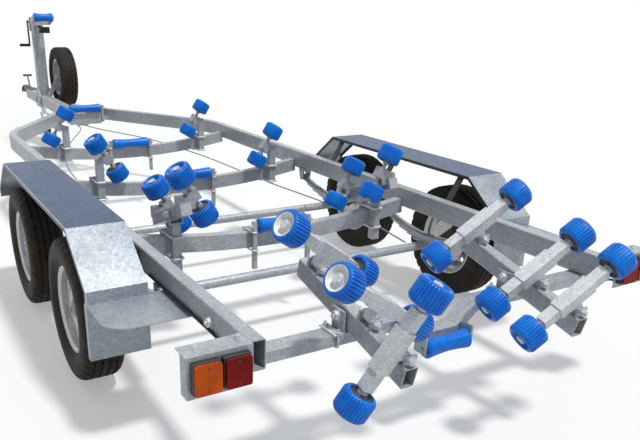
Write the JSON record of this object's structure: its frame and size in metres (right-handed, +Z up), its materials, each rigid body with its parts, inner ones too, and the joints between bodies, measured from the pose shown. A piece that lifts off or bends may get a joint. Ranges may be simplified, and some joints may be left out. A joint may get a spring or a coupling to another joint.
{
  "type": "boat trailer",
  "caption": "Galvanised tandem-axle boat trailer with tilting ribbed hull rollers, keel rollers, winch post, spare wheel, mudguards and jockey wheel.",
  "frame": {"origin": "centre of the trailer's length and width, on the ground", "axes": "+Y to the front, where the coupling is, +X to the trailer's right side, +Z up; the trailer stands level on its wheels and its jockey wheel"},
  "size_m": [2.174, 7.6324, 1.322],
  "materials": {
    "galvanised": "hot-dip galvanised, matt spangle",
    "zinc": "zinc plated steel, dull",
    "rim": "galvanised and painted silver",
    "caliper": "cast, slightly rusty",
    "tyre": "black road tyre",
    "jockey_rubber": "solid black rubber",
    "black_rubber": "black rubber block",
    "roller": "blue polyurethane with white hubs",
    "keel_roller": "smooth blue polyurethane",
    "lens_amber": "amber lens",
    "lens_red": "red lens"
  },
  "bodies": {
    "chassis": {"side_rails": "galvanised", "drawbar": "galvanised", "cross_members": "galvanised", "axles": "galvanised", "leaf_springs": "galvanised", "brake_calipers": "caliper", "spare_rim": "rim", "spare_tyre": "tyre", "mudguards": "galvanised", "lamp_brackets": "galvanised", "lamps_amber": "lens_amber", "lamps_red": "lens_red", "keel_brackets": "galvanised", "roller_posts": "galvanised", "winch_post": "galvanised", "bow_stop": "black_rubber", "coupling": "zinc", "jockey_sleeve": "zinc"},
    "wheel_front_left": {"rim_front_left": "rim", "tyre_front_left": "tyre"},
    "wheel_front_right": {"rim_front_right": "rim", "tyre_front_right": "tyre"},
    "wheel_rear_left": {"rim_rear_left": "rim", "tyre_rear_left": "tyre"},
    "wheel_rear_right": {"rim_rear_right": "rim", "tyre_rear_right": "tyre"},
    "jockey_leg": {"jockey_leg": "zinc"},
    "jockey_fork": {"jockey_fork": "zinc"},
    "jockey_wheel": {"jockey_wheel": "jockey_rubber"},
    "winch_drum": {"winch_drum": "zinc"},
    "bow_roller": {"bow_roller": "keel_roller"},
    "keel_roller_1": {"keel_roller_1": "keel_roller"},
    "keel_roller_2": {"keel_roller_2": "keel_roller"},
    "keel_roller_3": {"keel_roller_3": "keel_roller"},
    "keel_roller_4": {"keel_roller_4": "keel_roller"},
    "keel_roller_5": {"keel_roller_5": "keel_roller"},
    "hull_rollers_front_left": {"hull_rollers_front_left": "roller"},
    "hull_rollers_front_right": {"hull_rollers_front_right": "roller"},
    "hull_rollers_middle_left": {"hull_rollers_middle_left": "roller"},
    "hull_rollers_middle_right": {"hull_rollers_middle_right": "roller"},
    "rocker_left": {"rocker_left": "galvanised"},
    "rocker_rollers_fore_left": {"rocker_rollers_fore_left": "roller"},
    "rocker_rollers_aft_left": {"rocker_rollers_aft_left": "roller"},
    "rocker_right": {"rocker_right": "galvanised"},
    "rocker_rollers_fore_right": {"rocker_rollers_fore_right": "roller"},
    "rocker_rollers_aft_right": {"rocker_rollers_aft_right": "roller"},
    "cradle_beam_left": {"cradle_beam_left": "galvanised"},
    "cradle_arm_1_left": {"cradle_arm_1_left": "galvanised"},
    "cradle_rollers_1_left": {"cradle_rollers_1_left": "roller"},
    "cradle_arm_2_left": {"cradle_arm_2_left": "galvanised"},
    "cradle_rollers_2_left": {"cradle_rollers_2_left": "roller"},
    "cradle_arm_3_left": {"cradle_arm_3_left": "galvanised"},
    "cradle_rollers_3_left": {"cradle_rollers_3_left": "roller"},
    "cradle_beam_right": {"cradle_beam_right": "galvanised"},
    "cradle_arm_1_right": {"cradle_arm_1_right": "galvanised"},
    "cradle_rollers_1_right": {"cradle_rollers_1_right": "roller"},
    "cradle_arm_2_right": {"cradle_arm_2_right": "galvanised"},
    "cradle_rollers_2_right": {"cradle_rollers_2_right": "roller"},
    "cradle_arm_3_right": {"cradle_arm_3_right": "galvanised"},
    "cradle_rollers_3_right": {"cradle_rollers_3_right": "roller"}
  },
  "joints": [
    {"name": "wheel_front_left_spin", "type": "hinge", "parent": "chassis", "child": "wheel_front_left", "pos_m": [-0.995, -1.53775, 0.294], "axis": [1, 0, 0], "continuous": true},
    {"name": "wheel_front_right_spin", "type": "hinge", "parent": "chassis", "child": "wheel_front_right", "pos_m": [0.995, -1.53775, 0.294], "axis": [1, 0, 0], "continuous": true},
    {"name": "wheel_rear_left_spin", "type": "hinge", "parent": "chassis", "child": "wheel_rear_left", "pos_m": [-0.995, -2.43375, 0.294], "axis": [1, 0, 0], "continuous": true},
    {"name": "wheel_rear_right_spin", "type": "hinge", "parent": "chassis", "child": "wheel_rear_right", "pos_m": [0.995, -2.43375, 0.294], "axis": [1, 0, 0], "continuous": true},
    {"name": "jockey_leg_slide", "type": "slide", "parent": "chassis", "child": "jockey_leg", "axis": [0, 0, 1], "range_m": [-0.15, 0.07]},
    {"name": "jockey_swivel", "type": "hinge", "parent": "jockey_leg", "child": "jockey_fork", "pos_m": [0.104, 3.39925, 0.242], "axis": [0, 0, 1], "continuous": true},
    {"name": "jockey_wheel_spin", "type": "hinge", "parent": "jockey_fork", "child": "jockey_wheel", "pos_m": [0.104, 3.34425, 0.1], "axis": [1, 0, 0], "continuous": true},
    {"name": "winch_drum_spin", "type": "hinge", "parent": "chassis", "child": "winch_drum", "pos_m": [0, 2.91625, 1.225], "axis": [1, 0, 0], "continuous": true},
    {"name": "bow_roller_spin", "type": "hinge", "parent": "chassis", "child": "bow_roller", "pos_m": [0, 2.48425, 1.28], "axis": [1, 0, 0], "continuous": true},
    {"name": "keel_roller_1_spin", "type": "hinge", "parent": "chassis", "child": "keel_roller_1", "pos_m": [0, 1.19425, 0.574], "axis": [1, 0, 0], "continuous": true},
    {"name": "keel_roller_2_spin", "type": "hinge", "parent": "chassis", "child": "keel_roller_2", "pos_m": [0, -0.01275, 0.479], "axis": [1, 0, 0], "continuous": true},
    {"name": "keel_roller_3_spin", "type": "hinge", "parent": "chassis", "child": "keel_roller_3", "pos_m": [0, -1.15275, 0.479], "axis": [1, 0, 0], "continuous": true},
    {"name": "keel_roller_4_spin", "type": "hinge", "parent": "chassis", "child": "keel_roller_4", "pos_m": [0, -2.28775, 0.479], "axis": [1, 0, 0], "continuous": true},
    {"name": "keel_roller_5_spin", "type": "hinge", "parent": "chassis", "child": "keel_roller_5", "pos_m": [0, -3.47975, 0.352], "axis": [1, 0, 0], "continuous": true},
    {"name": "hull_rollers_front_left_spin", "type": "hinge", "parent": "chassis", "child": "hull_rollers_front_left", "pos_m": [-0.505, -0.02275, 0.63], "axis": [-0.5446, 0, -0.8387], "continuous": true},
    {"name": "hull_rollers_front_right_spin", "type": "hinge", "parent": "chassis", "child": "hull_rollers_front_right", "pos_m": [0.505, -0.02275, 0.63], "axis": [0.5446, 0, 0.8387], "continuous": true},
    {"name": "hull_rollers_middle_left_spin", "type": "hinge", "parent": "chassis", "child": "hull_rollers_middle_left", "pos_m": [-0.505, -1.16275, 0.62], "axis": [-0.5446, 0, 0.8387], "continuous": true},
    {"name": "hull_rollers_middle_right_spin", "type": "hinge", "parent": "chassis", "child": "hull_rollers_middle_right", "pos_m": [0.505, -1.16275, 0.62], "axis": [0.5446, 0, 0.8387], "continuous": true},
    {"name": "rocker_left_tilt", "type": "hinge", "parent": "chassis", "child": "rocker_left", "pos_m": [-0.546, -2.29775, 0.596], "axis": [1, 0, 0], "range_deg": [0, 42]},
    {"name": "rocker_rollers_fore_left_spin", "type": "hinge", "parent": "rocker_left", "child": "rocker_rollers_fore_left", "pos_m": [-0.498, -2.08091, 0.57489], "axis": [-0.5, 0, 0.866], "continuous": true},
    {"name": "rocker_rollers_aft_left_spin", "type": "hinge", "parent": "rocker_left", "child": "rocker_rollers_aft_left", "pos_m": [-0.498, -2.39086, 0.69387], "axis": [-0.5, 0, 0.866], "continuous": true},
    {"name": "rocker_right_tilt", "type": "hinge", "parent": "chassis", "child": "rocker_right", "pos_m": [0.546, -2.29775, 0.596], "axis": [1, 0, 0], "range_deg": [0, 42]},
    {"name": "rocker_rollers_fore_right_spin", "type": "hinge", "parent": "rocker_right", "child": "rocker_rollers_fore_right", "pos_m": [0.498, -2.08091, 0.57489], "axis": [0.5, 0, 0.866], "continuous": true},
    {"name": "rocker_rollers_aft_right_spin", "type": "hinge", "parent": "rocker_right", "child": "rocker_rollers_aft_right", "pos_m": [0.498, -2.39086, 0.69387], "axis": [0.5, 0, 0.866], "continuous": true},
    {"name": "cradle_beam_left_tilt", "type": "hinge", "parent": "chassis", "child": "cradle_beam_left", "pos_m": [-0.378, -3.40275, 0.518], "axis": [1, 0, 0], "range_deg": [-24, 0]},
    {"name": "cradle_arm_1_left_tilt", "type": "hinge", "parent": "cradle_beam_left", "child": "cradle_arm_1_left", "pos_m": [-0.378, -3.2129, 0.6246], "axis": [0, 0.9703, 0.2419], "range_deg": [-70, 0]},
    {"name": "cradle_rollers_1_left_spin", "type": "hinge", "parent": "cradle_arm_1_left", "child": "cradle_rollers_1_left", "pos_m": [-0.34416, -3.22459, 0.67149], "axis": [-0.8192, -0.1388, 0.5565], "continuous": true},
    {"name": "cradle_arm_2_left_tilt", "type": "hinge", "parent": "cradle_beam_left", "child": "cradle_arm_2_left", "pos_m": [-0.378, -3.52727, 0.54621], "axis": [0, 0.9703, 0.2419], "range_deg": [-70, 0]},
    {"name": "cradle_rollers_2_left_spin", "type": "hinge", "parent": "cradle_arm_2_left", "child": "cradle_rollers_2_left", "pos_m": [-0.34416, -3.53897, 0.59311], "axis": [-0.8192, -0.1388, 0.5565], "continuous": true},
    {"name": "cradle_arm_3_left_tilt", "type": "hinge", "parent": "cradle_beam_left", "child": "cradle_arm_3_left", "pos_m": [-0.378, -3.7029, 0.50243], "axis": [0, 0.9703, 0.2419], "range_deg": [0, 98]},
    {"name": "cradle_rollers_3_left_spin", "type": "hinge", "parent": "cradle_arm_3_left", "child": "cradle_rollers_3_left", "pos_m": [-0.43057, -3.70938, 0.52841], "axis": [-0.454, 0.2156, -0.8645], "continuous": true},
    {"name": "cradle_beam_right_tilt", "type": "hinge", "parent": "chassis", "child": "cradle_beam_right", "pos_m": [0.378, -3.40275, 0.518], "axis": [1, 0, 0], "range_deg": [-24, 0]},
    {"name": "cradle_arm_1_right_tilt", "type": "hinge", "parent": "cradle_beam_right", "child": "cradle_arm_1_right", "pos_m": [0.378, -3.2129, 0.6246], "axis": [0, 0.9703, 0.2419], "range_deg": [0, 70]},
    {"name": "cradle_rollers_1_right_spin", "type": "hinge", "parent": "cradle_arm_1_right", "child": "cradle_rollers_1_right", "pos_m": [0.34416, -3.22459, 0.67149], "axis": [0.8192, -0.1388, 0.5565], "continuous": true},
    {"name": "cradle_arm_2_right_tilt", "type": "hinge", "parent": "cradle_beam_right", "child": "cradle_arm_2_right", "pos_m": [0.378, -3.52727, 0.54621], "axis": [0, 0.9703, 0.2419], "range_deg": [0, 70]},
    {"name": "cradle_rollers_2_right_spin", "type": "hinge", "parent": "cradle_arm_2_right", "child": "cradle_rollers_2_right", "pos_m": [0.34416, -3.53897, 0.59311], "axis": [0.8192, -0.1388, 0.5565], "continuous": true},
    {"name": "cradle_arm_3_right_tilt", "type": "hinge", "parent": "cradle_beam_right", "child": "cradle_arm_3_right", "pos_m": [0.378, -3.7029, 0.50243], "axis": [0, 0.9703, 0.2419], "range_deg": [0, 98]},
    {"name": "cradle_rollers_3_right_spin", "type": "hinge", "parent": "cradle_arm_3_right", "child": "cradle_rollers_3_right", "pos_m": [0.34416, -3.71459, 0.54932], "axis": [0.8192, -0.1388, 0.5565], "continuous": true}
  ]
}
